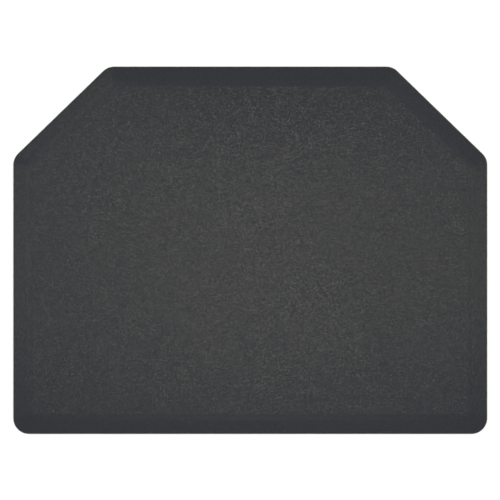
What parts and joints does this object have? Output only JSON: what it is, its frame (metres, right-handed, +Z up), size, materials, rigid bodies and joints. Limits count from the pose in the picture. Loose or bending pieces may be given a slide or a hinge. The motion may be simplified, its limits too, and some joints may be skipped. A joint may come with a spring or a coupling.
{
  "type": "anti fatigue mat",
  "caption": "Cushioned standing mat, a rectangle with two corners cut off, with a bevelled edge all round and a pebbled top.",
  "frame": {"origin": "on the floor under the middle of the mat's bounding box", "axes": "+X along the mat's width, +Y towards the narrow edge between the two cut corners, +Z up"},
  "size_m": [1.143, 0.886, 0.019],
  "materials": {
    "moulded_skin": "satin",
    "soft_foam": "matte",
    "scrim": "matte",
    "firm_foam": "matte",
    "adhesive": "satin",
    "grip_base": "matte"
  },
  "bodies": {
    "root": {"wear_skin": "moulded_skin", "comfort_foam": "soft_foam", "stabiliser_scrim": "scrim", "support_foam": "firm_foam", "bond_film": "adhesive", "base_sheet": "grip_base"}
  },
  "joints": []
}
